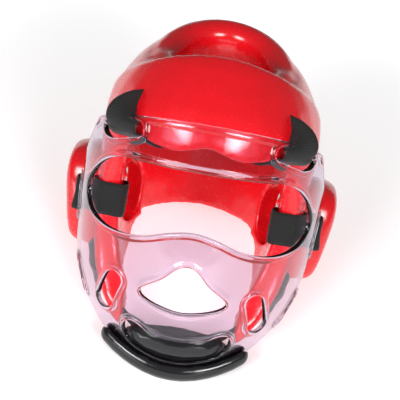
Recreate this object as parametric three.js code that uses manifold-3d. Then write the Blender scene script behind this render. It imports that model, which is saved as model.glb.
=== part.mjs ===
import * as THREE from 'three';
import { mergeVertices } from 'three/addons/utils/BufferGeometryUtils.js';
import Module from 'manifold-3d';

const wasm = await Module();
wasm.setup();

// Foam head guard with a clear face shield. Millimetres.
// Upright head frame: the face looks along -Y, +Z is the crown, z = 0 lies 32 below the eyes.

// Head guard
const guardHalfWidth = 95;
const guardFront = 104;
const guardBack = 112;
const crownRise = 160;
const jawDrop = 112;
const guardWall = 21;
const crownRingAcross = 52;
const crownRingTube = 14;
const crownRingDrop = 39;
const crownRingRise = crownRise - crownRingDrop;
const crownTiltBack = 21;
const crownTiltFront = 6;
const napeDrop = 38;
const napeGable = 8;

// Forehead pad
const padProud = 10;
const padSideProud = 1.5;
const padDepthIn = 19;
const padTopSetBack = 41;
const padTopDrop = 10.5;
const padTopReach = guardFront - padTopSetBack;
const padTopRise = crownRise - padTopDrop;

// Ear cups
const earCupProud = 32;
const earCupHalfDepth = 36;
const earCupHalfHeight = 50;
const earCupBack = 39;
const earCupDrop = 24;
const earPocketDepth = 24;

// Face shield, which stands off the guard at its sides and off the pad in front
const shieldStandSide = 13;
const shieldStandFront = 7;
const shieldHalfWidth = guardHalfWidth + shieldStandSide;
const shieldReach = guardFront + padProud + shieldStandFront;
const shieldBelowCrown = 50;
const shieldRise = crownRise - shieldBelowCrown;
const shieldPastJaw = 13;
const shieldDrop = jawDrop + shieldPastJaw;
const shieldWall = 2.6;
const rimWidth = 5.5;
const rimProud = 1.4;
const browSlotRadius = 6.5;
const cheekSlotRadius = 7;
const sideVentRadius = 5.5;
const rearSlotRadius = 3.2;

// Chin bumper, chin cup and straps
const bumperRadius = 10.5;
const bumperSweep = THREE.MathUtils.degToRad(41);
const bumperRise = 15;
const bumperSeat = 2;
const bumperDrop = shieldDrop - bumperSeat;
const chinCupShare = 0.484;
const chinCupHalfWidth = guardHalfWidth * chinCupShare;
const chinCupHalfSpan = 24;
const chinCupDepth = 22;
const chinCupWall = 8;
const chinCupSetBack = 43.5;
const chinCupRaise = 32.5;
const chinCupReach = shieldReach - chinCupSetBack;
const chinCupDrop = shieldDrop - chinCupRaise;
const chinCupTurn = THREE.MathUtils.degToRad(40);
const strapThickness = 2;
const browStrapWidth = 25;
const sideStrapWidth = 28;
const chinStrapWidth = 18;
const strapSlotHalf = 3;
const clearance = 0.4;

// How far the two feet, the nape edge and the bumper, are flattened where the guard rests on them
const napeFlat = 2.2;
const bumperFlat = 1.4;

const guardColumns = 28;
const shieldColumns = 18;
const outlineSteps = 20;
const strapSteps = 28;
const chinStrapSteps = 44;
const faceOpeningSteps = 36;

// Outer wall of the guard from the jaw up to the foot of the crown ring.
// level: share of crownRise above z = 0 and of jawDrop below it
// wide, deep: shares of guardHalfWidth and of guardFront or guardBack
// round: 1 is an oval plan, less is squarer. lean: share of the crown tilt.
const outerWall = [
  { level: -1.0, wide: 0.56, deep: 0.92, round: 0.58, lean: 0 },
  { level: -0.85, wide: 0.7, deep: 0.95, round: 0.6, lean: 0 },
  { level: -0.7, wide: 0.82, deep: 0.975, round: 0.64, lean: 0 },
  { level: -0.5, wide: 0.91, deep: 0.99, round: 0.7, lean: 0 },
  { level: -0.22, wide: 0.965, deep: 1.0, round: 0.76, lean: 0 },
  { level: 0.06, wide: 0.99, deep: 1.0, round: 0.8, lean: 0 },
  { level: 0.3, wide: 1.0, deep: 1.0, round: 0.85, lean: 0 },
  { level: 0.45, wide: 0.995, deep: 0.99, round: 0.9, lean: 0 },
  { level: 0.56, wide: 0.97, deep: 0.96, round: 0.95, lean: 0 },
  { level: 0.66, wide: 0.905, deep: 0.905, round: 1, lean: 0.1 },
  { level: 0.745, wide: 0.815, deep: 0.825, round: 1, lean: 0.3 },
  { level: 0.8, wide: 0.715, deep: 0.73, round: 1, lean: 0.6 },
];

// Outer wall of the forehead pad, on the guard's sizes with the pad's own proud.
const padWall = [
  { level: 0.15, wide: 1.0, deep: 1.0, round: 1, lean: 0 },
  { level: 0.4, wide: 1.0, deep: 1.0, round: 1, lean: 0 },
  { level: 0.5, wide: 0.99, deep: 0.985, round: 1, lean: 0 },
  { level: 0.6, wide: 0.96, deep: 0.95, round: 1, lean: 0 },
  { level: 0.69, wide: 0.895, deep: 0.885, round: 1, lean: 0 },
  { level: 0.78, wide: 0.795, deep: 0.79, round: 1, lean: 0 },
  { level: 0.87, wide: 0.655, deep: 0.67, round: 1, lean: 0 },
  { level: 0.95, wide: 0.48, deep: 0.52, round: 1, lean: 0 },
  { level: 1.01, wide: 0.28, deep: 0.3, round: 1, lean: 0 },
];

// Inner wall from under the crown ring down to the jaw.
// wide, deep: shares of the half-width and reach left inside guardWall
const innerWall = [
  { level: 0.68, wide: 0.76, deep: 0.76, round: 1, lean: 0.3 },
  { level: 0.6, wide: 0.88, deep: 0.87, round: 1, lean: 0.1 },
  { level: 0.5, wide: 0.97, deep: 0.96, round: 0.95, lean: 0 },
  { level: 0.37, wide: 1.01, deep: 1.0, round: 0.9, lean: 0 },
  { level: 0.06, wide: 0.995, deep: 1.0, round: 0.85, lean: 0 },
  { level: -0.22, wide: 0.955, deep: 1.0, round: 0.8, lean: 0 },
  { level: -0.5, wide: 0.88, deep: 0.985, round: 0.74, lean: 0 },
  { level: -0.7, wide: 0.77, deep: 0.96, round: 0.68, lean: 0 },
  { level: -0.85, wide: 0.62, deep: 0.92, round: 0.64, lean: 0 },
  { level: -1.0, wide: 0.44, deep: 0.88, round: 0.62, lean: 0 },
];

// Shield sheet. level: share of shieldRise or shieldDrop, wide and deep: shares of its size
const shieldWallRows = [
  { level: 1.0, wide: 0.955, deep: 0.945 },
  { level: 0.7, wide: 0.985, deep: 0.985 },
  { level: 0.3, wide: 1.0, deep: 1.0 },
  { level: 0.0, wide: 1.0, deep: 1.0 },
  { level: -0.3, wide: 0.99, deep: 0.985 },
  { level: -0.5, wide: 0.955, deep: 0.965 },
  { level: -0.65, wide: 0.9, deep: 0.94 },
  { level: -0.8, wide: 0.835, deep: 0.89 },
  { level: -0.9, wide: 0.78, deep: 0.85 },
  { level: -1.0, wide: 0.7, deep: 0.8 },
];

const red = { color: 0xe3141f, roughness: 0.18, metalness: 0 };
const clear = { color: 0xe4dcec, roughness: 0.05, metalness: 0, transparent: true, opacity: 0.35 };
const blackFoam = { color: 0x151515, roughness: 0.22, metalness: 0 };
const webbing = { color: 0x2d2e2d, roughness: 0.85, metalness: 0 };

// Solids

function solidOf(geometry) {
  const bare = geometry.clone();
  bare.deleteAttribute('normal');
  bare.deleteAttribute('uv');
  const merged = mergeVertices(bare, 1e-4);
  return new wasm.Manifold(new wasm.Mesh({
    numProp: 3,
    vertProperties: merged.attributes.position.array,
    triVerts: new Uint32Array(merged.index.array),
  }));
}

function geometryOf(solid) {
  const mesh = solid.getMesh();
  const geometry = new THREE.BufferGeometry();
  geometry.setAttribute('position', new THREE.BufferAttribute(mesh.vertProperties, 3));
  geometry.setIndex(new THREE.BufferAttribute(mesh.triVerts, 1));
  return geometry;
}

// Joins rings of points, each a list of vectors, into one closed skin.
// With loop the last ring meets the first, and otherwise both ends are capped by a fan.
// The sides in swapped have their four-cornered faces split along the other diagonal.
function skin(rings, loop, swapped = []) {
  const count = rings[0].length;
  const points = rings.flat();
  const faces = [];
  const bands = loop ? rings.length : rings.length - 1;
  for (let j = 0; j < bands; j++) {
    const low = j * count;
    const high = ((j + 1) % rings.length) * count;
    for (let i = 0; i < count; i++) {
      const next = (i + 1) % count;
      const swap = swapped.includes(i);
      faces.push(low + i, low + next, high + (swap ? i : next));
      faces.push(low + (swap ? next : i), high + next, high + i);
    }
  }
  if (!loop) {
    for (const [j, flip] of [[0, true], [rings.length - 1, false]]) {
      const middle = rings[j].reduce((sum, p) => sum.add(p), new THREE.Vector3());
      const centre = points.push(middle.divideScalar(count)) - 1;
      for (let i = 0; i < count; i++) {
        const here = j * count + i;
        const next = j * count + (i + 1) % count;
        faces.push(...(flip ? [centre, next, here] : [centre, here, next]));
      }
    }
  }
  const geometry = new THREE.BufferGeometry().setFromPoints(points);
  geometry.setIndex(faces);
  const solid = solidOf(geometry);
  if (solid.volume() > 0) return solid;
  const turned = faces.map((_, i) => faces[i - (i % 3) + 2 - (i % 3)]);
  geometry.setIndex(turned);
  return solidOf(geometry);
}

// Prism of a closed outline in the plane of the named view, from one depth to the other.
// A front outline holds x and z and runs along Y, a side outline holds y and z and runs along X.
function prism(outline, view, from, to, steps = 1) {
  const shape = new THREE.Shape(outline);
  const geometry = new THREE.ExtrudeGeometry(shape, { depth: to - from, steps, bevelEnabled: false });
  geometry.translate(0, 0, from);
  const turn = new THREE.Matrix4();
  if (view === 'front') turn.set(1, 0, 0, 0, 0, 0, 1, 0, 0, 1, 0, 0, 0, 0, 0, 1);
  else turn.set(0, 0, 1, 0, 1, 0, 0, 0, 0, 1, 0, 0, 0, 0, 0, 1);
  geometry.applyMatrix4(turn);
  if (turn.determinant() < 0) {
    const merged = mergeVertices(geometry.deleteAttribute('normal').deleteAttribute('uv'));
    const order = Array.from(merged.index.array);
    merged.setIndex(order.map((_, i) => order[i - (i % 3) + 2 - (i % 3)]));
    return solidOf(merged);
  }
  return solidOf(geometry);
}

const flat = (x, y) => new THREE.Vector2(x, y);

// Outline of points given as shares: the first of the reach on its side, the second of the rise or drop.
function sized(shares, { front, back = front, rise, drop }) {
  return shares.map((p) => flat(p.x * (p.x < 0 ? front : back), p.y * (p.y > 0 ? rise : drop)));
}

const guardSides = { front: guardFront, back: guardBack, rise: crownRise, drop: jawDrop };
const shieldSides = { front: shieldReach, rise: shieldRise, drop: shieldDrop };
const shieldFace = { front: shieldHalfWidth, rise: shieldRise, drop: shieldDrop };

// Smooth closed outline through its points.
function smoothOutline(points, steps = outlineSteps) {
  const curve = new THREE.CatmullRomCurve3(points.map((p) => new THREE.Vector3(p.x, p.y, 0)), true);
  return curve.getPoints(steps).slice(0, -1).map((p) => flat(p.x, p.y));
}

// Symmetric smooth outline from its right half, given top to bottom.
function mirroredOutline(half, steps) {
  const left = half.slice().reverse().filter((p) => p.x > 0).map((p) => flat(-p.x, p.y));
  return smoothOutline([...half, ...left], steps);
}

// Long round-ended hole between two centres.
function slotOutline(a, b, radius, steps = 4) {
  const along = b.clone().sub(a).angle();
  const points = [];
  for (const [centre, start] of [[b, along - Math.PI / 2], [a, along + Math.PI / 2]]) {
    for (let i = 0; i <= steps; i++) {
      const turn = start + Math.PI * i / steps;
      points.push(flat(centre.x + radius * Math.cos(turn), centre.y + radius * Math.sin(turn)));
    }
  }
  return points;
}

// Outline moved outwards by a distance.
function grown(outline, distance) {
  const turn = THREE.ShapeUtils.area(outline) > 0 ? 1 : -1;
  return outline.map((p, i) => {
    const before = outline[(i + outline.length - 1) % outline.length];
    const after = outline[(i + 1) % outline.length];
    const run = after.clone().sub(before).normalize();
    return flat(p.x + turn * run.y * distance, p.y - turn * run.x * distance);
  });
}

const flipX = (outline) => outline.map((p) => flat(-p.x, p.y)).reverse();

// Flat strap through its rows. Each row has a place and the direction across the strap.
function strap(rows, width, closed, samples, spare = 0) {
  const places = new THREE.CatmullRomCurve3(rows.map((r) => r.at), closed, 'centripetal');
  const acrosses = new THREE.CatmullRomCurve3(rows.map((r) => r.across), closed);
  const rings = [];
  const count = closed ? samples : samples + 1;
  for (let i = 0; i < count; i++) {
    const t = i / samples;
    const at = places.getPoint(t);
    const along = places.getTangent(t);
    const across = acrosses.getPoint(t);
    across.addScaledVector(along, -across.dot(along)).normalize();
    const out = new THREE.Vector3().crossVectors(along, across);
    const ring = [[1, 1], [-1, 1], [-1, -1], [1, -1]].map(([s, n]) => at.clone()
      .addScaledVector(across, s * width / 2)
      .addScaledVector(out, n * (strapThickness + spare) / 2));
    rings.push(ring);
  }
  // Both broad faces are split along the same diagonal, so they stay apart where the strap twists.
  return skin(rings, closed, [2]);
}

const mirrored = (solid) => solid.mirror([1, 0, 0]);

// Head guard

function heightOf(row) {
  return row.level * (row.level > 0 ? crownRise : jawDrop);
}

function tiltAt(angle) {
  const c = Math.cos(angle);
  return -c * (c > 0 ? crownTiltFront : crownTiltBack);
}

// Point of the guard's plan at an angle counted from the face, at a half-width and reach.
function planPoint(angle, halfWidth, front, back, round, z) {
  const s = Math.sin(angle);
  const c = Math.cos(angle);
  const power = c > 0 ? round : 1;
  const reach = c > 0 ? front : back;
  return new THREE.Vector3(
    halfWidth * Math.sign(s) * Math.abs(s) ** power,
    -reach * Math.sign(c) * Math.abs(c) ** power,
    z,
  );
}

function wallSize(inside) {
  const cut = inside ? guardWall : 0;
  return {
    halfWidth: guardHalfWidth - cut,
    front: guardFront - cut,
    back: guardBack - cut,
  };
}

function wallRing(row, size) {
  const ring = [];
  for (let i = 0; i < guardColumns; i++) {
    const angle = 2 * Math.PI * i / guardColumns;
    const z = heightOf(row) + row.lean * tiltAt(angle);
    ring.push(planPoint(angle, row.wide * size.halfWidth, row.deep * size.front,
      row.deep * size.back, row.round, z));
  }
  return ring;
}

function crownRingRing(turn) {
  const ring = [];
  const share = crownRingAcross / guardHalfWidth;
  const out = crownRingTube * Math.cos(turn);
  const up = crownRingTube * Math.sin(turn);
  for (let i = 0; i < guardColumns; i++) {
    const angle = 2 * Math.PI * i / guardColumns;
    const z = crownRingRise + tiltAt(angle) + up;
    ring.push(planPoint(angle, crownRingAcross + out, share * guardFront + out,
      share * guardBack + out, 1, z));
  }
  return ring;
}

function guardShell() {
  const rings = outerWall.map((row) => wallRing(row, wallSize(false)));
  for (let turn = -10; turn <= 230; turn += 40) {
    rings.push(crownRingRing(THREE.MathUtils.degToRad(turn)));
  }
  for (const row of innerWall) rings.push(wallRing(row, wallSize(true)));
  return skin(rings, true);
}

// Side outline of the brow, cheek and jaw edge: all in front of it is cut away.
const cheekEdge = sized([
  flat(-1.6, 0.463), flat(-0.82, 0.463), flat(-0.67, 0.362), flat(-0.56, 0.156), flat(-0.53, -0.107),
  flat(-0.57, -0.357), flat(-0.66, -0.554), flat(-0.77, -0.732), flat(-0.88, -0.911), flat(-1.6, -1.018),
], guardSides);

// Right half of the face opening as seen from the front, brow lobes first.
const faceOpening = sized([
  flat(0, 0.519), flat(0.13, 0.494), flat(0.29, 0.466), flat(0.45, 0.469), flat(0.58, 0.475),
  flat(0.67, 0.438), flat(0.7, 0.344), flat(0.72, 0.063), flat(0.71, -0.089), flat(0.66, -0.313),
  flat(0.59, -0.482), flat(0.52, -0.67), flat(0.5, -0.848), flat(0.5, -1.161), flat(0, -1.179),
], { front: guardHalfWidth, rise: crownRise, drop: jawDrop });

// Side outline of all that lies under the jaw and nape.
const napeLevel = -napeDrop / jawDrop;
const underEdge = sized([
  flat(-1.346, -0.982), flat(-0.865, -0.884), flat(-0.577, -0.83), flat(-0.288, -0.75), flat(0, -0.652),
  flat(0.25, -0.598), flat(0.357, -0.518), flat(0.446, -0.402), flat(0.554, napeLevel),
  flat(1.339, napeLevel), flat(1.339, -1.7), flat(-1.346, -1.7),
], guardSides);

function underCutter() {
  const half = guardHalfWidth * 1.5;
  const cutter = prism(underEdge, 'side', -half, half, 2);
  return cutter.warp((v) => {
    if (v[1] > guardBack / 2 && v[2] > -jawDrop) v[2] -= napeGable * Math.abs(v[0]) / half;
  });
}

function padSolid() {
  const size = {
    halfWidth: guardHalfWidth + padSideProud,
    front: guardFront + padProud,
    back: guardBack,
  };
  const outer = padWall.map((row) => wallRing(row, size));
  const inner = outer.map((ring) => ring.map((p) => {
    const centre = new THREE.Vector3(0, 0, Math.min(p.z, crownRise * 0.4));
    const inwards = centre.sub(p).normalize();
    return p.clone().addScaledVector(inwards, padProud + padDepthIn);
  }));
  const shell = skin([...outer, ...inner.reverse()], true);
  const rearEdge = sized([
    flat(-1.5, 0.375), flat(-0.02, 0.375), flat(-0.01, 0.613),
    flat(-padTopReach / guardFront, padTopRise / crownRise), flat(-0.8, 1.04), flat(-1.5, 1.35),
  ], guardSides);
  const half = guardHalfWidth * 1.5;
  return shell.intersect(prism(rearEdge, 'side', -half, half));
}

// Steps of the ear cup. out: share of earCupProud past the guard, size: share of the cup's outline
const earCupSteps = [
  { out: -0.4, size: 1.0 }, { out: 0.35, size: 1.0 }, { out: 0.74, size: 0.95 },
  { out: 0.93, size: 0.87 }, { out: 1.0, size: 0.62 },
];

function earCup() {
  const corner = 0.66;
  const columns = 20;
  const rings = earCupSteps.map(({ out, size }) => {
    const ring = [];
    for (let i = 0; i < columns; i++) {
      const angle = 2 * Math.PI * i / columns;
      const c = Math.cos(angle);
      const s = Math.sin(angle);
      const y = earCupBack + size * earCupHalfDepth * Math.sign(c) * Math.abs(c) ** corner;
      const z = -earCupDrop + size * earCupHalfHeight * Math.sign(s) * Math.abs(s) ** corner;
      const taper = out > 0 ? 0.13 * Math.max(0, -z) : 0;
      ring.push(new THREE.Vector3(guardHalfWidth + out * earCupProud - taper, y, z));
    }
    return ring;
  });
  return skin(rings, false);
}

function earPocket() {
  const ball = new THREE.SphereGeometry(1, 16, 10);
  ball.scale(earPocketDepth, earCupHalfDepth * 0.7, earCupHalfHeight * 0.68);
  ball.translate(guardHalfWidth - guardWall * 0.86, earCupBack, -earCupDrop * 0.7);
  return solidOf(ball);
}

// How far the guard leans back to stand on its nape edge and its bumper, and how high z = 0 then lies.
function restStance() {
  const bumper = bumperPoint(0);
  const run = guardBack - bumper.y;
  const rise = -napeDrop - bumper.z;
  const closer = (napeFlat - bumperFlat + bumperRadius) / Math.hypot(run, rise);
  const lean = Math.acos(-closer) - Math.atan2(run, rise);
  return { lean, lift: guardBack * Math.sin(lean) + napeDrop * Math.cos(lean) - napeFlat };
}

// Everything under the plane that the flattened feet stand on.
function floorBlock() {
  const { lean, lift } = restStance();
  const across = 2 * (guardFront + guardBack);
  const block = new THREE.BoxGeometry(across, across, lift);
  block.translate(0, 0, -1.5 * lift);
  block.rotateX(lean);
  return solidOf(block);
}

function headGuard() {
  let guard = guardShell();
  const cup = earCup();
  guard = guard.add(cup).add(mirrored(cup));
  const pocket = earPocket();
  guard = guard.subtract(pocket).subtract(mirrored(pocket));
  const half = guardHalfWidth * 1.5;
  guard = guard.subtract(prism(smoothOutlineOpen(cheekEdge), 'side', -half, half));
  guard = guard.add(padSolid());
  const face = mirroredOutline(faceOpening, faceOpeningSteps);
  guard = guard.subtract(prism(face, 'front', -1.5 * guardFront, -0.2 * guardFront));
  guard = guard.subtract(underCutter());
  for (const opening of wallSlots.map(wallSlot)) {
    guard = guard.subtract(opening).subtract(mirrored(opening));
  }
  // The foam is slotted where a strap goes through it, and gives way where one presses on it.
  const dents = [browStrap(6 * clearance), sideStrap(3 * clearance)];
  for (const dent of dents) guard = guard.subtract(dent).subtract(mirrored(dent));
  return guard.subtract(chinStrap(2 * clearance)).subtract(bumperTube(2 * clearance)).subtract(floorBlock());
}

// Smooth outline whose first and last points are joined by a straight line.
function smoothOutlineOpen(points) {
  const curve = new THREE.SplineCurve(points);
  return curve.getPoints(outlineSteps);
}

// Slot through the guard's wall for a strap, between two ends given as side shares.
function wallSlot(ends) {
  const [low, high] = sized(ends, guardSides);
  const outline = slotOutline(low, high, strapSlotHalf);
  return prism(outline, 'side', (guardHalfWidth - guardWall) * 0.66, guardHalfWidth * 1.1);
}

// Slots where the side strap comes back in and where the chin strap goes through, front and rear.
const wallSlots = [
  [flat(-0.019, -0.196), flat(-0.019, 0.038)],
  [flat(-0.163, -0.571), flat(-0.163, -0.384)],
  [flat(-0.5, -0.76), flat(-0.5, -0.56)],
];

// Half-width of the guard's wall at a depth and height.
function guardHalfWidthAt(y, z, inside, offset) {
  const rows = (inside ? innerWall : outerWall).slice().sort((a, b) => a.level - b.level);
  const heights = rows.map(heightOf);
  let k = 1;
  while (k < rows.length - 1 && heights[k] < z) k++;
  const t = THREE.MathUtils.clamp((z - heights[k - 1]) / (heights[k] - heights[k - 1]), 0, 1);
  const mix = (name) => THREE.MathUtils.lerp(rows[k - 1][name], rows[k][name], t);
  const size = wallSize(inside);
  const reach = mix('deep') * (y < 0 ? size.front : size.back) + offset;
  const power = y < 0 ? 2 / mix('round') : 2;
  const left = Math.max(0, 1 - Math.abs(y / reach) ** power);
  return (mix('wide') * size.halfWidth + offset) * left ** (1 / power);
}

// Face shield

function shieldSize(level) {
  let k = 1;
  while (k < shieldWallRows.length - 1 && shieldWallRows[k].level > level) k++;
  const above = shieldWallRows[k - 1];
  const below = shieldWallRows[k];
  const t = (above.level - level) / (above.level - below.level);
  return {
    halfWidth: shieldHalfWidth * THREE.MathUtils.lerp(above.wide, below.wide, t),
    reach: shieldReach * THREE.MathUtils.lerp(above.deep, below.deep, t),
  };
}

function shieldPoint(angle, z, offset) {
  const size = shieldSize(z > 0 ? z / shieldRise : z / shieldDrop);
  return new THREE.Vector3(
    (size.halfWidth + offset) * Math.sin(angle),
    -(size.reach + offset) * Math.cos(angle),
    z,
  );
}

function shieldSheet(outer, inner) {
  const rings = [];
  const levels = shieldWallRows.map((row) => row.level * (row.level > 0 ? shieldRise : shieldDrop));
  for (let i = 0; i <= shieldColumns; i++) {
    const angle = THREE.MathUtils.degToRad(-96 + 192 * i / shieldColumns);
    const front = levels.map((z) => shieldPoint(angle, z, outer));
    const back = levels.map((z) => shieldPoint(angle, z, inner)).reverse();
    rings.push([...front, ...back]);
  }
  return skin(rings, false);
}

// Side outline of the shield: top edge, rear edge and the bottom edge inside the bumper.
const shieldEdge = sized([
  flat(-1.157, 1.027), flat(-0.331, 0.673), flat(-0.198, 0.573), flat(-0.099, 0.4), flat(-0.058, 0.182),
  flat(-0.058, -0.2), flat(-0.116, -0.384), flat(-0.248, -0.576), flat(-0.43, -0.736),
  flat(-0.595, -0.86), flat(-0.793, -0.992), flat(-1.157, -1.216),
], shieldSides);

const eyeOpening = sized([
  flat(0, 0.591), flat(0.37, 0.573), flat(0.639, 0.532), flat(0.796, 0.4), flat(0.88, 0.191),
  flat(0.852, 0.045), flat(0.741, -0.024), flat(0.565, -0.028), flat(0.38, 0.014), flat(0.185, 0.095),
  flat(0, 0.132),
], shieldFace);
const mouthOpening = sized([
  flat(0, -0.128), flat(0.083, -0.16), flat(0.176, -0.248), flat(0.306, -0.336), flat(0.338, -0.376),
  flat(0.306, -0.412), flat(0.185, -0.448), flat(0, -0.472),
], shieldFace);
const chinOpening = sized([
  flat(0, -0.712), flat(0.185, -0.696), flat(0.333, -0.64), flat(0.407, -0.652), flat(0.421, -0.72),
  flat(0.356, -0.808), flat(0.204, -0.864), flat(0, -0.888),
], shieldFace);

// Long round-ended hole of the shield, its ends given as shares in the front or side view.
const sheetSlot = (a, b, radius, sides) => slotOutline(...sized([a, b], sides), radius);
const browSlot = sheetSlot(flat(0.556, 0.782), flat(0.745, 0.691), browSlotRadius, shieldFace);
const cheekSlot = sheetSlot(flat(0.556, -0.376), flat(0.606, -0.576), cheekSlotRadius, shieldFace);
const sideVent = sheetSlot(flat(-0.33, -0.5), flat(-0.41, -0.63), sideVentRadius, shieldSides);
const rearSlot = sheetSlot(flat(-0.18, -0.168), flat(-0.106, 0.05), rearSlotRadius, shieldSides);

function shieldFrontHoles() {
  return [
    mirroredOutline(eyeOpening, 30),
    mirroredOutline(mouthOpening, 20), mirroredOutline(chinOpening, 20),
    browSlot, flipX(browSlot), cheekSlot, flipX(cheekSlot),
  ];
}

// Prisms through the front of the sheet, or through one side of it.
const throughFront = (outline) => prism(outline, 'front', -1.25 * shieldReach, -0.33 * shieldReach);
const throughSide = (outline) => prism(outline, 'side', shieldHalfWidth / 2, shieldHalfWidth * 1.2);

function faceShield() {
  const raised = shieldSheet(rimProud, -shieldWall);
  let shield = shieldSheet(0, -shieldWall);
  const fronts = shieldFrontHoles();
  const sides = [sideVent, rearSlot];
  for (const hole of fronts) shield = shield.add(raised.intersect(throughFront(grown(hole, rimWidth))));
  for (const hole of sides) {
    const block = throughSide(grown(hole, rimWidth * 0.6));
    shield = shield.add(raised.intersect(block)).add(raised.intersect(mirrored(block)));
  }
  for (const hole of fronts) shield = shield.subtract(throughFront(hole));
  for (const hole of sides) {
    const block = throughSide(hole);
    shield = shield.subtract(block).subtract(mirrored(block));
  }
  const passages = [browStrap(3 * clearance), sideStrap(3 * clearance)];
  for (const passage of passages) shield = shield.subtract(passage).subtract(mirrored(passage));
  return shield.intersect(prism(shieldEdge, 'side', -1.2 * shieldHalfWidth, 1.2 * shieldHalfWidth));
}

// Chin bumper: a round foam tube on the shield's lower edge, grooved for it.

function bumperPoint(share) {
  const angle = bumperSweep * share;
  const z = -bumperDrop + bumperRise * share * share;
  return shieldPoint(angle, Math.max(z, -shieldDrop), -shieldWall / 2);
}

function bumperTube(spare = 0) {
  const points = [];
  for (let i = -12; i <= 12; i++) points.push(bumperPoint(i / 12));
  const section = new THREE.Shape();
  section.absarc(0, 0, bumperRadius + spare, 0, 2 * Math.PI, false);
  const tube = solidOf(new THREE.ExtrudeGeometry(section, {
    steps: 12, curveSegments: 5, bevelEnabled: false,
    extrudePath: new THREE.CatmullRomCurve3(points),
  }));
  const ball = new THREE.SphereGeometry(bumperRadius + spare, 10, 7);
  const ends = [points[0], points[points.length - 1]]
    .map((p) => solidOf(ball).translate([p.x, p.y, p.z]));
  return tube.add(ends[0]).add(ends[1]);
}

function chinBumper() {
  const lowered = shieldEdge.map((p) => flat(p.x, p.y - clearance));
  const groove = shieldSheet(rimProud + clearance, -shieldWall - clearance)
    .intersect(prism(lowered, 'side', -1.2 * shieldHalfWidth, 1.2 * shieldHalfWidth));
  return bumperTube().subtract(groove).subtract(floorBlock());
}

// Chin cup: a shallow foam bowl behind the lower shield, open towards the chin, up and back.

function cupBall(less) {
  const ball = new THREE.SphereGeometry(1, 20, 10);
  ball.scale(chinCupHalfWidth - less, chinCupDepth - less, chinCupHalfSpan - less);
  return solidOf(ball);
}

function chinCup() {
  const across = 3 * chinCupHalfWidth;
  const behind = new THREE.BoxGeometry(across, across, across);
  behind.translate(0, across / 2, 0);
  const cup = cupBall(0).subtract(cupBall(chinCupWall)).subtract(solidOf(behind))
    .rotate([THREE.MathUtils.radToDeg(chinCupTurn), 0, 0])
    .translate([0, -chinCupReach, -chinCupDrop]);
  return cup.subtract(chinStrap(3 * clearance));
}

// Straps

const sideTilt = [0, 0.35, 1];

// A strap's row: its place as shares of the shield's half-width, reach and rise or drop,
// and its direction across.
function row(x, y, z, across) {
  return {
    at: new THREE.Vector3(
      x * shieldHalfWidth,
      y * shieldReach,
      z * (z > 0 ? shieldRise : shieldDrop),
    ),
    across: new THREE.Vector3(...across),
  };
}

// Row on the guard's wall, its depth and height as shares.
function onGuard(y, z, inside, across) {
  const lift = (clearance + strapThickness / 2) * (inside ? -1.6 : 1.6);
  const line = row(0, y, z, across);
  line.at.x = guardHalfWidthAt(line.at.y, line.at.z, inside, lift);
  return line;
}

// Loop round the cheek edge, out through the shield's rear slot and back in by the ear cup.
function sideStrap(spare = 0) {
  const rows = [
    row(0.667, -0.025, -0.064, sideTilt),
    onGuard(-0.1, -0.04, true, sideTilt),
    onGuard(-0.2, 0, true, sideTilt),
    onGuard(-0.314, 0.036, true, sideTilt),
    row(0.6, -0.446, 0.073, sideTilt),
    row(0.63, -0.5, 0.082, sideTilt),
    row(0.705, -0.505, 0.086, sideTilt),
    row(0.786, -0.479, 0.077, sideTilt),
    row(0.843, -0.405, 0.055, sideTilt),
    row(0.884, -0.314, 0.027, sideTilt),
    row(0.917, -0.223, -0.016, sideTilt),
    row(0.954, -0.161, -0.048, sideTilt),
    row(1.0, -0.14, -0.064, sideTilt),
    row(1.032, -0.103, -0.064, sideTilt),
    row(1.019, -0.037, -0.064, sideTilt),
    row(0.963, -0.015, -0.064, sideTilt),
    row(0.87, -0.017, -0.064, sideTilt),
    row(0.759, -0.017, -0.064, sideTilt),
  ];
  return strap(rows, sideStrapWidth + spare, true, strapSteps, spare);
}

// Twisted loop from the pad's slot over the shield's top edge, in through its slot and up behind the brow.
function browStrap(spare = 0) {
  const rows = [
    row(0.56, -0.56, 0.93, [0, 0, 1]),
    row(0.63, -0.67, 0.95, [0.3, 0.1, 0.95]),
    row(0.676, -0.736, 0.914, [0.62, 0.3, 0.62]),
    row(0.699, -0.769, 0.845, [0.78, 0.5, 0.15]),
    row(0.685, -0.764, 0.773, [0.72, 0.62, -0.1]),
    row(0.653, -0.731, 0.714, [0.7, 0.66, -0.2]),
    row(0.565, -0.669, 0.659, [0.72, 0.62, -0.15]),
    row(0.475, -0.612, 0.627, [0.8, 0.5, 0]),
    row(0.407, -0.529, 0.627, [0.85, 0.5, 0]),
    row(0.352, -0.446, 0.673, [0.82, 0.56, 0]),
    row(0.324, -0.38, 0.764, [0.82, 0.56, 0]),
    row(0.352, -0.364, 0.873, [0.82, 0.56, 0.05]),
    row(0.426, -0.421, 0.936, [0.6, 0.42, 0.65]),
  ];
  return strap(rows, browStrapWidth + spare, true, strapSteps, spare);
}

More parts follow.
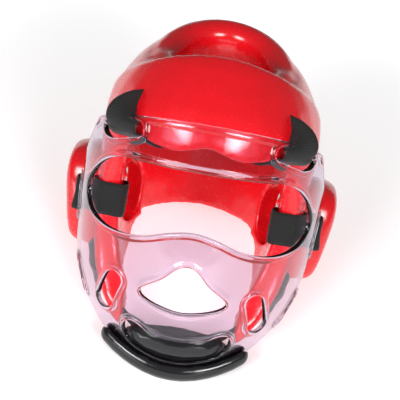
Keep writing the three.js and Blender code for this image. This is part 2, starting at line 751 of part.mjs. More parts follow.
// Band from a slot in one side of the jaw along its outside, in through a second slot,
// and through the chin cup to the other side.
function chinStrap(spare = 0) {
  const sloped = [0.45, 0, 1];
  const leaning = [0.2, -0.5, 0.9];
  const cupped = [0, -0.64, 0.77];
  const flank = [
    row(0.66, -0.14, -0.42, sloped),
    row(0.77, -0.14, -0.43, sloped),
    onGuard(-0.19, -0.46, false, sloped),
    onGuard(-0.29, -0.5, false, sloped),
    onGuard(-0.37, -0.54, false, sloped),
    row(0.69, -0.425, -0.58, sloped),
    row(0.6, -0.445, -0.62, leaning),
    row(0.53, -0.49, -0.66, leaning),
    row(0.46, -0.565, -0.71, leaning),
    row(0.37, -0.635, -0.752, cupped),
    row(0.25, -0.68, -0.775, cupped),
    row(0.12, -0.703, -0.787, cupped),
  ];
  const other = flank.slice().reverse()
    .map(({ at, across }) => ({
      at: new THREE.Vector3(-at.x, at.y, at.z),
      across: new THREE.Vector3(-across.x, across.y, across.z),
    }));
  const middle = row(0, -0.708, -0.79, cupped);
  return strap([...flank, middle, ...other], chinStrapWidth + spare, false, chinStrapSteps, spare);
}

const model = new THREE.Group();

function place(name, solid, material) {
  const mesh = new THREE.Mesh(geometryOf(solid), material);
  mesh.name = name;
  model.add(mesh);
}

place('head_guard', headGuard(), new THREE.MeshStandardMaterial(red));
place('face_shield', faceShield(), new THREE.MeshStandardMaterial(clear));
place('chin_bumper', chinBumper(), new THREE.MeshStandardMaterial(blackFoam));
place('chin_cup', chinCup(), new THREE.MeshStandardMaterial(blackFoam));
place('chin_strap', chinStrap(), new THREE.MeshStandardMaterial(webbing));
for (const [side, turn] of [['left', (s) => s], ['right', mirrored]]) {
  place(`brow_strap_${side}`, turn(browStrap()), new THREE.MeshStandardMaterial(webbing));
  place(`side_strap_${side}`, turn(sideStrap()), new THREE.MeshStandardMaterial(webbing));
}

const stance = restStance();
model.rotation.x = -stance.lean;
model.position.z = stance.lift;
model.updateMatrixWorld(true);
model.position.y = -new THREE.Box3().setFromObject(model, true).getCenter(new THREE.Vector3()).y;

export default model;
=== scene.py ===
import math

import bpy
from mathutils import Matrix, Vector
from mathutils.geometry import delaunay_2d_cdt


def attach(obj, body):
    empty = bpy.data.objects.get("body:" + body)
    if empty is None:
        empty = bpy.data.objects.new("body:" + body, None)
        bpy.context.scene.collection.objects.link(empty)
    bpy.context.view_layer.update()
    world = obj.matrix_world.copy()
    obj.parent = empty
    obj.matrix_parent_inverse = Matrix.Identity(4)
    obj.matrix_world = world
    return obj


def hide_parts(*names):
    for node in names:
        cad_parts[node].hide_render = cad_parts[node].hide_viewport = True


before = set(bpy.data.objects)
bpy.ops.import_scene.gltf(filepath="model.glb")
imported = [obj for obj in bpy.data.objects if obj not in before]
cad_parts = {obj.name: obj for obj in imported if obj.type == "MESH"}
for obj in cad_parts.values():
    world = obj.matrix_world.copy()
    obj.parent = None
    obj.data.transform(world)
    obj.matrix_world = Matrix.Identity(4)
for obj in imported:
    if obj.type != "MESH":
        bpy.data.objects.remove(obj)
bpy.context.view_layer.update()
print("frame loaded")

# Headgear with a clear face shield. Sizes are millimetres in the upright head frame,
# where the face looks along -Y and the crown is up. It rests leaning back on bumper and nape.
stance = {"lean": 25.05957, "lift": 79.66174, "shift": 6.2741}


def restPlace(x, y, z):
    lean = math.radians(stance["lean"])
    return Vector((
        x,
        y * math.cos(lean) + z * math.sin(lean) + stance["shift"],
        -y * math.sin(lean) + z * math.cos(lean) + stance["lift"],
    )) / 1000


def pickOnly(piece):
    bpy.ops.object.select_all(action="DESELECT")
    piece.select_set(True)
    bpy.context.view_layer.objects.active = piece


def copyOfNode(node, name):
    piece = bpy.data.objects.new(name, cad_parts[node].data.copy())
    bpy.context.scene.collection.objects.link(piece)
    piece.data.materials.clear()
    pickOnly(piece)
    bpy.ops.object.mode_set(mode="EDIT")
    bpy.ops.mesh.select_all(action="SELECT")
    bpy.ops.mesh.remove_doubles(threshold=1e-5)
    bpy.ops.object.mode_set(mode="OBJECT")
    return piece


def shape(piece, kind, **settings):
    modifier = piece.modifiers.new(kind.title(), kind)
    for name, value in settings.items():
        setattr(modifier, name, value)
    pickOnly(piece)
    bpy.ops.object.modifier_apply(modifier=modifier.name)


def soften(piece, voxel, rounds):
    # rounds a faceted copy: voxel size in millimetres, then so many rounds of smoothing
    shape(piece, "REMESH", mode="VOXEL", voxel_size=voxel / 1000, use_smooth_shade=True)
    shape(piece, "SMOOTH", factor=0.5, iterations=rounds)


def finished(piece, slot, material, *nodes):
    piece.data.materials.append(material)
    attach(piece, "root")
    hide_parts(*nodes)


def meshPiece(name, points, faces):
    mesh = bpy.data.meshes.new(name)
    mesh.from_pydata([tuple(p) for p in points], [], faces)
    mesh.update()
    piece = bpy.data.objects.new(name, mesh)
    bpy.context.scene.collection.objects.link(piece)
    mesh.polygons.foreach_set("use_smooth", [True] * len(mesh.polygons))
    return piece


def spline(points, closed, steps):
    # Catmull-Rom through points of any size
    count = len(points)
    found = []
    spans = count if closed else count - 1
    for i in range(spans):
        a, b, c, d = (
            points[(i + k) % count] if closed else points[min(max(i + k, 0), count - 1)]
            for k in (-1, 0, 1, 2)
        )
        for j in range(steps):
            t = j / steps
            found.append(tuple(
                0.5 * (
                    2 * q + (r - p) * t + (2 * p - 5 * q + 4 * r - s) * t ** 2
                    + (3 * q - p - 3 * r + s) * t ** 3
                )
                for p, q, r, s in zip(a, b, c, d)
            ))
    if not closed:
        found.append(tuple(points[-1]))
    return found


def colour(code):
    # an sRGB hex code as linear light
    parts = [int(code[i:i + 2], 16) / 255 for i in (1, 3, 5)]
    return [p / 12.92 if p <= 0.04045 else ((p + 0.055) / 1.055) ** 2.4 for p in parts] + [1.0]


def newMaterial(name):
    material = bpy.data.materials.new(name)
    material.use_nodes = True
    material.node_tree.nodes.clear()
    return material


def add(material, kind, settings=(), links=()):
    node = material.node_tree.nodes.new(kind)
    for name, value in dict(settings).items():
        if isinstance(name, int) or name in node.inputs:
            node.inputs[name].default_value = value
        else:
            setattr(node, name, value)
    for name, source in dict(links).items():
        material.node_tree.links.new(source, node.inputs[name])
    return node


def noise(material, place, pitchMm, detail):
    settings = {"Scale": 1000 / pitchMm, "Detail": detail}
    return add(material, "ShaderNodeTexNoise", settings, {"Vector": place}).outputs["Fac"]


def bumped(material, height, strength, depthMm, below=None):
    links = {"Height": height}
    if below is not None:
        links["Normal"] = below
    settings = {"Strength": strength, "Distance": depthMm / 1000}
    return add(material, "ShaderNodeBump", settings, links).outputs["Normal"]


def ranged(material, value, low, high, fromLow=0.0, fromHigh=1.0):
    settings = {"From Min": fromLow, "From Max": fromHigh, "To Min": low, "To Max": high}
    return add(material, "ShaderNodeMapRange", settings, {"Value": value}).outputs["Result"]


def mixed(material, share, first, second):
    settings = {"data_type": "RGBA", 6: colour(first), 7: colour(second)}
    return add(material, "ShaderNodeMix", settings, {0: share}).outputs[2]


def surface(material, shader):
    add(material, "ShaderNodeOutputMaterial", {}, {"Surface": shader.outputs[0]})
    return material


def dippedFoam():
    # Vinyl-dipped foam: a wet-looking skin with faint waviness from the dip and small dust pits
    finish = {
        "deep": "#C00C18", "base": "#E20F1C", "toneShare": (0.75, 1.0), "toneFrom": (0.2, 0.5),
        "waveMm": 26, "waveBump": 0.35, "waveDeepMm": 1.2, "skinMm": 3.2, "skinBump": 0.12, "skinDeepMm": 0.2,
        "roughness": (0.2, 0.32), "index": 1.47, "coat": 0.4, "coatRoughness": 0.05,
    }
    material = newMaterial("vinyl dipped foam")
    place = add(material, "ShaderNodeTexCoord").outputs["Object"]
    wave = noise(material, place, finish["waveMm"], 2.0)
    skin = noise(material, place, finish["skinMm"], 3.0)
    share = ranged(material, wave, *finish["toneShare"], *finish["toneFrom"])
    low = bumped(material, wave, finish["waveBump"], finish["waveDeepMm"])
    shader = add(material, "ShaderNodeBsdfPrincipled", {
        "IOR": finish["index"], "Coat Weight": finish["coat"], "Coat Roughness": finish["coatRoughness"],
    }, {
        "Base Color": mixed(material, share, finish["deep"], finish["base"]),
        "Roughness": ranged(material, skin, *finish["roughness"]),
        "Normal": bumped(material, skin, finish["skinBump"], finish["skinDeepMm"], low),
    })
    return surface(material, shader)


def clearSheet():
    # Moulded polycarbonate, tinted faintly lavender. Lamps reach through it as in thin sheet.
    finish = {
        "tint": "#D5C8D8", "shadow": "#F3EDF5", "waveMm": 60, "waveBump": 0.1, "waveDeepMm": 0.6,
        "roughness": 0.02, "index": 1.5,
    }
    material = newMaterial("moulded clear polycarbonate")
    place = add(material, "ShaderNodeTexCoord").outputs["Object"]
    wave = noise(material, place, finish["waveMm"], 1.0)
    shader = add(material, "ShaderNodeBsdfPrincipled", {
        "Base Color": colour(finish["tint"]), "Roughness": finish["roughness"], "IOR": finish["index"],
        "Transmission Weight": 1.0,
    }, {"Normal": bumped(material, wave, finish["waveBump"], finish["waveDeepMm"])})
    through = add(material, "ShaderNodeBsdfTransparent", {"Color": colour(finish["shadow"])})
    path = add(material, "ShaderNodeLightPath")
    return surface(material, add(material, "ShaderNodeMixShader", {}, {
        0: path.outputs["Is Shadow Ray"], 1: shader.outputs[0], 2: through.outputs[0],
    }))


def blackFoam():
    # Dipped black foam: glossy skin that dulls where it was rubbed
    finish = {
        "base": "#0D0D0E", "worn": "#232326", "wearMm": 30,
        "skinMm": 2.4, "skinBump": 0.08, "skinDeepMm": 0.3, "roughness": (0.08, 0.24), "index": 1.5,
    }
    material = newMaterial("black dipped foam")
    place = add(material, "ShaderNodeTexCoord").outputs["Object"]
    wear = noise(material, place, finish["wearMm"], 4.0)
    skin = noise(material, place, finish["skinMm"], 2.0)
    return surface(material, add(material, "ShaderNodeBsdfPrincipled", {"IOR": finish["index"]}, {
        "Base Color": mixed(material, wear, finish["base"], finish["worn"]),
        "Roughness": ranged(material, wear, *finish["roughness"]),
        "Normal": bumped(material, skin, finish["skinBump"], finish["skinDeepMm"]),
    }))


def webbing():
    # Woven polyester tape: ribs across it and warp lines along it, read from the strap's own map in metres
    finish = {
        "thread": "#232423", "gap": "#111211", "ribMm": 1.6, "warpMm": 1.9, "bump": 0.5, "deepMm": 0.4,
        "roughness": 0.85, "sheen": 0.08, "specular": 0.3,
    }
    material = newMaterial("woven polyester webbing")
    place = add(material, "ShaderNodeUVMap", {"uv_map": "along"}).outputs[0]
    split = add(material, "ShaderNodeSeparateXYZ", {}, {0: place})
    lines = []
    for axis, pitch in (("X", finish["ribMm"]), ("Y", finish["warpMm"])):
        settings = {"operation": "MULTIPLY", 1: 2 * math.pi * 1000 / pitch}
        turn = add(material, "ShaderNodeMath", settings, {0: split.outputs[axis]})
        lines.append(add(material, "ShaderNodeMath", {"operation": "SINE"}, {0: turn.outputs[0]}).outputs[0])
    weave = add(material, "ShaderNodeMath", {"operation": "MAXIMUM"}, {0: lines[0], 1: lines[1]})
    share = ranged(material, weave.outputs[0], 0.0, 1.0, -1.0, 1.0)
    return surface(material, add(material, "ShaderNodeBsdfPrincipled", {
        "Roughness": finish["roughness"], "Sheen Weight": finish["sheen"],
        "Specular IOR Level": finish["specular"],
    }, {
        "Base Color": mixed(material, share, finish["gap"], finish["thread"]),
        "Normal": bumped(material, share, finish["bump"], finish["deepMm"]),
    }))


redFoam = dippedFoam()
clearPlastic = clearSheet()
blackSkin = blackFoam()
blackTape = webbing()
print("materials made")

guard = {
    "voxel": 2.4, "rounds": 22, "fill": 0.95,
    "plugs": [  # place and half sizes: the ear hollow's lower end, and both ends of the side strap's passage
        ((72, 52, -43), (20, 10, 6.5)), ((72, -2, 12), (5, 5, 7)), ((70.5, -2, -27), (5, 5, 7)),
    ],
}
headGuard = copyOfNode("head_guard", "headGuard")
for place, size in guard["plugs"]:
    for side in (-1, 1):
        bpy.ops.object.select_all(action="DESELECT")
        bpy.ops.mesh.primitive_uv_sphere_add(segments=24, ring_count=12, radius=0.001)
        plug = bpy.context.object
        centre = restPlace(side * place[0], *place[1:])
        plug.matrix_world = Matrix.Translation(centre) @ Matrix.Diagonal((*size, 1))
        headGuard.select_set(True)
        bpy.context.view_layer.objects.active = headGuard
        bpy.ops.object.join()
soften(headGuard, guard["voxel"], guard["rounds"])
finished(headGuard, "dipped_foam", redFoam, "head_guard")
print("head guard made,", len(headGuard.data.polygons), "faces")

shield = {
    "halfWidth": 108, "reach": 121, "rise": 110, "drop": 125, "wall": 2.6,
    "rimWidth": 5.5, "rimProud": 1.6, "rimShares": (0.3, 0.5, 0.75, 1.0), "rimClear": 1.2,
    "edgeRound": 0.8, "edgeStart": 0.3, "stepMm": 3.0, "fieldMm": 6.0, "fieldClear": 2.5,
    "holeSteps": 12, "edgeSteps": 16,
    "rows": [  # level, wide, deep
        (1.0, 0.955, 0.945), (0.7, 0.985, 0.985), (0.3, 1.0, 1.0), (0.0, 1.0, 1.0), (-0.3, 0.99, 0.985),
        (-0.5, 0.955, 0.965), (-0.65, 0.9, 0.94), (-0.8, 0.835, 0.89), (-0.9, 0.78, 0.85), (-1.0, 0.7, 0.8),
    ],
    "edge": [  # side outline, y and z, from the brow round the rear down to the bumper
        (-140, 113), (-65, 84), (-51, 73), (-42, 61), (-31, 47), (-17, 32), (-8, 14), (-7, -25),
        (-14, -48), (-30, -72), (-52, -92), (-72, -107.5), (-96, -124), (-140, -152),
    ],
    "eye": [
        (0, 65), (40, 63), (69, 58.5), (86, 44), (95, 21), (92, 5), (80, -3), (61, -3.5), (41, 1.5),
        (20, 10.5), (0, 14.5),
    ],
    "mouth": [(0, -16), (9, -20), (19, -31), (33, -42), (36.5, -47), (33, -51.5), (20, -56), (0, -59)],
    "chin": [(0, -89), (20, -87), (36, -80), (44, -81.5), (45.5, -90), (38.5, -101), (22, -108), (0, -111)],
    "slots": [  # two centres, radius, and the plane they are drawn in
        ((60, 86), (80.5, 76), 6.5, "front"), ((60, -47), (65.5, -72), 7, "front"),
        ((-40, -62.5), (-49.6, -78.8), 5.5, "side"), ((-21.8, -21), (-12.8, 5.5), 3.2, "side"),
    ],
    "topRim": (64, 74),  # levels over which the rim along the top edge rises from the sheet
}


def shieldSize(z):
    # half width and reach of the sheet at a level, smooth through the rows
    level = z / shield["rise"] if z > 0 else z / shield["drop"]
    rows = shield["rows"]
    k = 1
    while k < len(rows) - 1 and rows[k][0] > level:
        k += 1
    near = [rows[min(max(k + j, 0), len(rows) - 1)] for j in (-2, -1, 0, 1)]
    a, b = near[1], near[2]
    t = (a[0] - level) / (a[0] - b[0])
    found = []
    for n in (1, 2):
        slopes = [
            (q[n] - p[n]) / (q[0] - p[0]) * (b[0] - a[0]) if q[0] != p[0] else 0.0
            for p, q in ((near[0], near[2]), (near[1], near[3]))
        ]
        found.append(
            (2 * t ** 3 - 3 * t ** 2 + 1) * a[n] + (t ** 3 - 2 * t ** 2 + t) * slopes[0]
            + (3 * t ** 2 - 2 * t ** 3) * b[n] + (t ** 3 - t ** 2) * slopes[1]
        )
    return shield["halfWidth"] * found[0], shield["reach"] * found[1]


perDegree, arcSteps = 2, 240
arcTable = [0.0]  # length round the widest plan of the sheet, by half degrees
for i in range(arcSteps):
    here, there = math.radians(i / perDegree), math.radians((i + 1) / perDegree)
    arcTable.append(arcTable[-1] + math.hypot(
        shield["halfWidth"] * (math.sin(there) - math.sin(here)),
        shield["reach"] * (math.cos(there) - math.cos(here)),
    ))


def arcOf(angle):
    k = min(abs(math.degrees(angle)) * perDegree, arcSteps - 0.01)
    low = int(k)
    return math.copysign(arcTable[low] + (arcTable[low + 1] - arcTable[low]) * (k - low), angle)


def angleOf(arc):
    left = abs(arc)
    low, high = 0, arcSteps
    while high - low > 1:
        middle = (low + high) // 2
        low, high = (middle, high) if arcTable[middle] <= left else (low, middle)
    k = low + (left - arcTable[low]) / (arcTable[low + 1] - arcTable[low])
    return math.copysign(math.radians(k / perDegree), arc)


def shieldPlace(arc, z, offset):
    wide, deep = shieldSize(z)
    angle = angleOf(arc)
    out = Vector((math.sin(angle) / wide, -math.cos(angle) / deep, 0)).normalized()
    return restPlace(wide * math.sin(angle) + out.x * offset, -deep * math.cos(angle) + out.y * offset, z)


def onSheet(points, plane):
    # an outline drawn in the front or side view, as lengths round the sheet and levels
    found = []
    for p, z in points:
        wide, deep = shieldSize(z)
        if plane == "front":
            angle = math.asin(max(-1, min(1, p / wide)))
        else:
            angle = math.acos(max(-1, min(1, -p / deep)))
        found.append((arcOf(angle), z))
    return found


def bothHalves(half):
    return half + [(-x, z) for x, z in reversed(half) if x > 0]


def evenly(points, step):
    # closed outline with points every step
    lengths = [math.dist(points[i], points[(i + 1) % len(points)]) for i in range(len(points))]
    total = sum(lengths)
    count = max(12, round(total / step))
    found, i, walked = [], 0, 0.0
    for n in range(count):
        goal = total * n / count
        while walked + lengths[i] < goal:
            walked += lengths[i]
            i += 1
        t = (goal - walked) / lengths[i]
        a, b = points[i], points[(i + 1) % len(points)]
        found.append((a[0] + (b[0] - a[0]) * t, a[1] + (b[1] - a[1]) * t))
    return found


def longHole(a, b, radius):
    along = math.atan2(b[1] - a[1], b[0] - a[0])
    found, steps = [], 12
    for centre, start in ((b, along - math.pi / 2), (a, along + math.pi / 2)):
        for i in range(steps + 1):
            turn = start + math.pi * i / steps
            found.append((centre[0] + radius * math.cos(turn), centre[1] + radius * math.sin(turn)))
    return found


def area(points):
    return sum(a[0] * b[1] - b[0] * a[1] for a, b in zip(points, points[1:] + points[:1])) / 2


def grown(points, distance):
    turn = 1 if area(points) > 0 else -1
    found = []
    for i, p in enumerate(points):
        a, b = points[i - 1], points[(i + 1) % len(points)]
        run = Vector((b[0] - a[0], b[1] - a[1])).normalized()
        found.append((p[0] + turn * run.y * distance, p[1] - turn * run.x * distance))
    return found


def shieldOutlines():
    holes = []
    for name in ("eye", "mouth", "chin"):
        holes.append(onSheet(spline(bothHalves(shield[name]), True, shield["holeSteps"]), "front"))
    for a, b, radius, plane in shield["slots"]:
        hole = onSheet(longHole(a, b, radius), plane)
        holes += [hole, [(-s, z) for s, z in hole]]
    holes = [evenly(hole, shield["stepMm"]) for hole in holes]
    side = spline(shield["edge"], False, shield["edgeSteps"])
    front = [p for p in side if -p[0] < shieldSize(p[1])[1]]
    rim = [p for p in onSheet(front, "side") if p[0] > 2]  # the two halves meet without doubled points
    outline = rim + [(-s, z) for s, z in reversed(rim)]
    return evenly(outline, shield["stepMm"]), holes


def distanceTo(p, lines):
    best = 1e9
    for line in lines:
        for a, b in zip(line, line[1:] + line[:1]):
            dx, dy = b[0] - a[0], b[1] - a[1]
            t = max(0.0, min(1.0, ((p[0] - a[0]) * dx + (p[1] - a[1]) * dy) / (dx * dx + dy * dy + 1e-12)))
            best = min(best, (a[0] + dx * t - p[0]) ** 2 + (a[1] + dy * t - p[1]) ** 2)
    return math.sqrt(best)


def inside(p, line):
    odd = False
    for a, b in zip(line, line[1:] + line[:1]):
        if (a[1] > p[1]) != (b[1] > p[1]) and p[0] < (b[0] - a[0]) * (p[1] - a[1]) / (b[1] - a[1]) + a[0]:
            odd = not odd
    return odd


def rimHeight(distance):
    # a half-round bead from the edge to the rim's width
    half = shield["rimWidth"] / 2
    return shield["rimProud"] * math.sqrt(max(0.0, 1 - ((distance - half) / half) ** 2))


def makeShield():
    outline, holes = shieldOutlines()
    width, soft, clear = shield["rimWidth"], shield["edgeRound"], shield["fieldClear"]
    low, high = shield["topRim"]
    edgeLines = [shield["edgeStart"], soft]
    rimLines = [width * share for share in shield["rimShares"]] + [width + shield["rimClear"]]
    points, edges = [], []

    def inSheet(p):
        return inside(p, outline) and not any(inside(p, hole) for hole in holes)

    def loop(line, keep=lambda p: True):
        kept = [keep(p) for p in line]
        start = len(points)
        points.extend(line)
        for i in range(len(line)):
            j = (i + 1) % len(line)
            if kept[i] and kept[j]:
                edges.append((start + i, start + j))

    loop(outline)
    for distance in edgeLines:
        loop(grown(outline, -distance))
    for distance in rimLines:
        loop(grown(outline, -distance), lambda p: p[1] > low and inSheet(p))
    for hole in holes:
        loop(hole)
        for distance in edgeLines + rimLines:
            loop(grown(hole, distance), inSheet)
    xs = [p[0] for p in outline]
    zs = [p[1] for p in outline]
    step = shield["fieldMm"]
    for i in range(int((max(xs) - min(xs)) / step)):
        for j in range(int((max(zs) - min(zs)) / step)):
            p = (min(xs) + (i + 0.5 * (j % 2)) * step, min(zs) + j * step)
            fromEdge = clear + (width if p[1] > low else 0)
            if inSheet(p) and distanceTo(p, holes) > width + clear and distanceTo(p, [outline]) > fromEdge:
                points.append(p)
    flat, _, faces, _, _, _ = delaunay_2d_cdt([Vector(p) for p in points], edges, [], 0, 1e-6)
    flat = [tuple(p) for p in flat]
    kept = []
    for face in faces:
        middle = (sum(flat[i][0] for i in face) / 3, sum(flat[i][1] for i in face) / 3)
        if inSheet(middle):
            kept.append(tuple(face) if area([flat[i] for i in face]) > 0 else tuple(reversed(face)))
    used = sorted({i for face in kept for i in face})
    index = {old: new for new, old in enumerate(used)}
    outer, inner = [], []
    for i in used:
        p = flat[i]
        toHole = distanceTo(p, holes)
        toOutline = distanceTo(p, [outline])
        bump = rimHeight(toHole)
        if toOutline < width and p[1] > low:
            bump = max(bump, min(1.0, (p[1] - low) / (high - low)) * rimHeight(toOutline))
        toEdge = min(toHole, toOutline)
        fall = soft - math.sqrt(max(0.0, soft ** 2 - (soft - toEdge) ** 2)) if toEdge < soft else 0.0
        outer.append(shieldPlace(p[0], p[1], bump - fall))
        inner.append(shieldPlace(p[0], p[1], fall - shield["wall"]))
    count = len(used)
    allFaces, sides = [], []
    for face in kept:
        a, b, c = (index[i] for i in face)
        allFaces += [(a, b, c), (a + count, c + count, b + count)]
        sides += [(a, b), (b, c), (c, a)]
    known = set(sides)
    allFaces += [(b, a, a + count, b + count) for a, b in sides if (b, a) not in known]
    return meshPiece("faceShield", outer + inner, allFaces)


faceShield = makeShield()
finished(faceShield, "clear_shield", clearPlastic, "face_shield")
print("face shield made,", len(faceShield.data.polygons), "faces")

bumper = {"voxel": 1.5, "rounds": 12, "fill": 0.95}
chinBumper = copyOfNode("chin_bumper", "chinBumper")
soften(chinBumper, bumper["voxel"], bumper["rounds"])
finished(chinBumper, "black_foam", blackSkin, "chin_bumper")

cup = {
    "voxel": 1.5, "rounds": 12, "fill": 0.95,
    "shift": (0, -5, -6),  # forwards and down, to fill the shield's chin slot
}
chinCup = copyOfNode("chin_cup", "chinCup")
soften(chinCup, cup["voxel"], cup["rounds"])
chinCup.data.transform(Matrix.Translation(restPlace(*cup["shift"]) - restPlace(0, 0, 0)))
finished(chinCup, "black_foam", blackSkin, "chin_cup")
print("bumper and cup made")

strap = {
    "thick": 2.0, "edgeShare": 0.55,  # the side edges are thinner than the middle
    "columns": 8, "steps": 10, "browWidth": 28, "sideWidth": 28, "chinWidth": 18,
}


def ribbon(name, rows, width, closed):
    # rows: place and the direction across. Its own map holds the way along and across in metres.
    dense = spline(rows, closed, strap["steps"])
    places = [restPlace(*row[:3]) for row in dense]
    origin = restPlace(0, 0, 0)
    acrosses = [(restPlace(*row[3:6]) - origin).normalized() for row in dense]
    count = len(dense)
    columns, thick = strap["columns"], strap["thick"] / 1000
    points, ways, walked = [], [], 0.0
    for i in range(count):
        after = places[(i + 1) % count] if closed or i < count - 1 else places[i]
        before = places[i - 1] if closed or i > 0 else places[i]
        along = (after - before).normalized()
        across = (acrosses[i] - along * acrosses[i].dot(along)).normalized()
        out = along.cross(across)
        if i:
            walked += (places[i] - places[i - 1]).length
        ways.append(walked)
        for side in (1, -1):
            for j in range(columns + 1):
                share = (j / columns * 2 - 1) * side
                half = thick / 2 * (strap["edgeShare"] if j in (0, columns) else 1.0)
                points.append(places[i] + across * share * width / 2000 + out * side * half)
    total = walked + (places[0] - places[-1]).length if closed else walked
    ring = 2 * (columns + 1)
    acrossAt = [
        (m % (columns + 1)) / columns * (1 if m <= columns else -1) * width / 1000 for m in range(ring)
    ]
    faces, maps = [], []
    for i in range(count if closed else count - 1):
        low, high = i * ring, (i + 1) % count * ring
        for j in range(ring):
            k = (j + 1) % ring
            faces.append((low + j, low + k, high + k, high + j))
            here, there = ways[i], total if i == count - 1 else ways[i + 1]
            maps += [(here, acrossAt[j]), (here, acrossAt[k]), (there, acrossAt[k]), (there, acrossAt[j])]
    if not closed:
        faces += [tuple(reversed(range(ring))), tuple(range((count - 1) * ring, count * ring))]
        maps += [(0, 0)] * (2 * ring)
    piece = meshPiece(name, points, faces)
    layer = piece.data.uv_layers.new(name="along")
    layer.data.foreach_set("uv", [n for pair in maps for n in pair])
    pickOnly(piece)
    bpy.ops.object.mode_set(mode="EDIT")
    bpy.ops.mesh.select_all(action="SELECT")
    bpy.ops.mesh.normals_make_consistent(inside=False)
    bpy.ops.object.mode_set(mode="OBJECT")
    return piece, total


def flipped(rows):
    return [(-x, y, z, -a, b, c) for x, y, z, a, b, c in reversed(rows)]


# place and direction across, from the slot in the pad over the shield's top edge and back behind the brow
browRows = [
    (60.5, -67.8, 97.5, 0, 0, 1), (67, -80, 97, 0.42, 0.18, 0.88),
    (72, -88.5, 94.5, 0.72, 0.34, 0.55), (73.5, -92.5, 89, 0.88, 0.46, 0.12),
    (72, -91.5, 82.5, 0.8, 0.58, -0.15), (69.5, -87.5, 78, 0.7, 0.66, -0.27),
    (61, -80, 73.5, 0.72, 0.62, -0.2), (51.3, -74, 69, 0.8, 0.5, 0), (44, -64, 69, 0.85, 0.5, 0),
    (38, -54, 74, 0.82, 0.56, 0), (35, -46, 84, 0.82, 0.56, 0), (38, -44, 94, 0.82, 0.56, 0.05),
    (46, -51, 99, 0.6, 0.42, 0.65),
]
# round the cheek's edge, out through the shield's rear slot and back in by the ear cup
sideRows = [
    (x, y, z, 0, 0.35, 1) for x, y, z in (
        (72, -3, -8), (69.8, -12.1, -5), (68.9, -24.2, 0), (64.8, -38, 4), (63.4, -54.5, 8), (67.2, -62, 9),
        (76.1, -62.8, 9.5), (84.9, -59.6, 8.5), (91, -49, 6), (95.5, -38, 3), (99, -27, -2),
        (103, -19.5, -6), (108, -16.9, -8), (111.5, -12.5, -8), (110.1, -4.5, -8), (104, -1.8, -8),
        (94, -2.1, -8), (82, -2.1, -8),
    )
]
# from the jaw's rear slot along its outside, in through its second slot and into the cup, up to the middle
chinRows = [
    (71.3, -16.9, -52.5, 0.45, 0, 1), (83.2, -16.9, -53.8, 0.45, 0, 1), (87.7, -23, -57.5, 0.45, 0, 1),
    (85, -35.1, -62.5, 0.45, 0, 1), (82, -44.8, -67.5, 0.45, 0, 1), (74.5, -51.4, -72.5, 0.45, 0, 1),
    (64.8, -53.8, -77.5, 0.2, -0.5, 0.9), (57.2, -59.3, -82.5, 0.2, -0.5, 0.9),
    (49.7, -68.4, -88.8, 0.2, -0.5, 0.9), (40, -76.8, -94, 0, -0.64, 0.77),
    (27, -82.3, -96.9, 0, -0.64, 0.77), (13, -85.1, -98.4, 0, -0.64, 0.77),
]
for side, turn in (("Left", list), ("Right", flipped)):
    for label, node, rows, width in (
        ("browStrap", "brow_strap_", browRows, strap["browWidth"]),
        ("sideStrap", "side_strap_", sideRows, strap["sideWidth"]),
    ):
        piece, length = ribbon(label + side, turn(rows), width, True)
        finished(piece, "webbing", blackTape, node + side.lower())
        print(piece.name, "loop length mm", round(length * 1000))

chinMiddle = (0, -85.7, -98.8, 0, -0.64, 0.77)
chinWay = chinRows + [chinMiddle] + flipped(chinRows)
chinStrap, length = ribbon("chinStrap", chinWay, strap["chinWidth"], False)
finished(chinStrap, "webbing", blackTape, "chin_strap")
print("chin strap length mm", round(length * 1000))
print("straps made")

studio = {
    # the glow values paint light into the floor: a glow that rises behind the guard and under it
    "floor": "#F4F4F5", "floorSize": 8, "paintedGlowNear": 0.22, "paintedGlowFar": 0.65, "paintedGlowUnder": 0.5, "air": 0.16,
    "paintedGlowFrom": (-0.3, 0.5),  # metres behind the middle
    "paintedUnderFrom": (0.14, 0.07),  # metres out from the middle
    "lampPeak": 2.4,
    "lamps": [  # azimuth, elevation, distance, width and height in metres, turn about its own axis, watts
        (-37, 32, 1.9, 1.05, 0.66, 6, 23.0), (32, 32, 1.9, 1.0, 0.66, -6, 23.0),
        (-40, 1.4, 1.5, 0.78, 0.11, 0, 1.8), (27, 1.4, 1.5, 0.5, 0.08, 0, 0.9),
    ],
}


def paintedGlowFloor():
    # Matt white acrylic floor with painted light: it glows, more behind the guard where the lamps' light
    # falls off, and most under it, where the glow fills the guard's shadow
    finish = {"grainMm": 2.5, "bump": 0.05, "deepMm": 0.2, "roughness": 0.9}
    material = newMaterial("matt acrylic floor with painted glow")
    place = add(material, "ShaderNodeTexCoord").outputs["Object"]
    grain = noise(material, place, finish["grainMm"], 2.0)
    split = add(material, "ShaderNodeSeparateXYZ", {}, {0: place})
    # painted light: the floor glows more towards the back, where the lamps reach less
    behind = ranged(material, split.outputs["Y"], studio["paintedGlowNear"], studio["paintedGlowFar"], *studio["paintedGlowFrom"])
    reach = add(material, "ShaderNodeVectorMath", {"operation": "LENGTH"}, {0: place}).outputs["Value"]
    # painted light: a glow under the guard that lifts its shadow
    underGlowPainted = ranged(material, reach, 0.0, studio["paintedGlowUnder"], *studio["paintedUnderFrom"])
    paintedGlow = add(material, "ShaderNodeMath", {"operation": "MAXIMUM"}, {0: behind, 1: underGlowPainted})
    return surface(material, add(material, "ShaderNodeBsdfPrincipled", {
        "Base Color": colour(studio["floor"]), "Roughness": finish["roughness"],
        "Emission Color": colour("#FFFFFF"),
    }, {
        "Normal": bumped(material, grain, finish["bump"], finish["deepMm"]),
        "Emission Strength": paintedGlow.outputs[0],
    }))


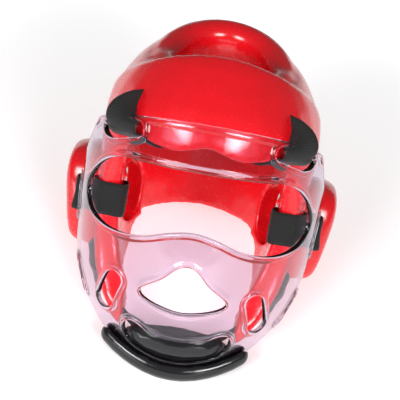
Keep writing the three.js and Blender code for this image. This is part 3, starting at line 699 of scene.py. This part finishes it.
def fadeToEdges(lampData):
    # a soft box is brightest in its middle
    lampData.use_nodes = True
    part = add(lampData, "ShaderNodeNewGeometry").outputs["Parametric"]
    split = add(lampData, "ShaderNodeSeparateXYZ", {}, {0: part})
    waves, halfTurn = [], {"operation": "MULTIPLY", 1: math.pi}
    for axis in ("X", "Y"):
        turned = add(lampData, "ShaderNodeMath", halfTurn, {0: split.outputs[axis]})
        wave = add(lampData, "ShaderNodeMath", {"operation": "SINE"}, {0: turned.outputs[0]})
        waves.append(wave.outputs[0])
    both = add(lampData, "ShaderNodeMath", {"operation": "MULTIPLY"}, {0: waves[0], 1: waves[1]})
    settings = {"operation": "MULTIPLY", 1: studio["lampPeak"]}
    gain = add(lampData, "ShaderNodeMath", settings, {0: both.outputs[0]})
    lampData.node_tree.links.new(gain.outputs[0], lampData.node_tree.nodes["Emission"].inputs["Strength"])


bpy.ops.object.select_all(action="DESELECT")
bpy.ops.mesh.primitive_plane_add(size=studio["floorSize"], location=(0, 0, 0))
floor = bpy.context.object
floor.name = "studioFloor"
floor.data.materials.append(paintedGlowFloor())

world = bpy.data.worlds.new("studioAir")
world.use_nodes = True
world.node_tree.nodes["Background"].inputs["Color"].default_value = colour("#FFFFFF")
world.node_tree.nodes["Background"].inputs["Strength"].default_value = studio["air"]
bpy.context.scene.world = world

middle = restPlace(0, 0, 0)
for i, (azimuth, elevation, distance, wide, high, turn, power) in enumerate(studio["lamps"]):
    lampData = bpy.data.lights.new(f"softBox{i}", "AREA")
    lampData.shape = "RECTANGLE"
    lampData.size, lampData.size_y, lampData.energy = wide, high, power
    fadeToEdges(lampData)
    lamp = bpy.data.objects.new(f"softBox{i}", lampData)
    turned, lifted = math.radians(azimuth), math.radians(elevation)
    flat = math.cos(lifted)
    way = Vector((math.sin(turned) * flat, -math.cos(turned) * flat, math.sin(lifted)))
    aimed = Matrix.Translation(middle + way * distance) @ way.to_track_quat("Z", "Y").to_matrix().to_4x4()
    lamp.matrix_world = aimed @ Matrix.Rotation(math.radians(turn), 4, "Z")
    bpy.context.scene.collection.objects.link(lamp)

view = {"distance": 1.0, "elevation": 45.0, "roll": 10.0, "lens": 98.8, "sensor": 36}
lift, roll = math.radians(view["elevation"]), math.radians(view["roll"])
back = Vector((0, -math.cos(lift), math.sin(lift)))
right, up = Vector((1, 0, 0)), Vector((0, math.sin(lift), math.cos(lift)))
tiltedUp = up * math.cos(roll) - right * math.sin(roll)
tiltedRight = right * math.cos(roll) + up * math.sin(roll)
cameraData = bpy.data.cameras.new("photoCamera")
cameraData.lens, cameraData.sensor_width = view["lens"], view["sensor"]
camera = bpy.data.objects.new("photoCamera", cameraData)
facing = Matrix((tiltedRight, tiltedUp, back)).transposed().to_4x4()
camera.matrix_world = Matrix.Translation(middle + back * view["distance"]) @ facing
bpy.context.scene.collection.objects.link(camera)
bpy.context.scene.camera = camera
bpy.context.scene.view_settings.view_transform = "Standard"
print("stage set")
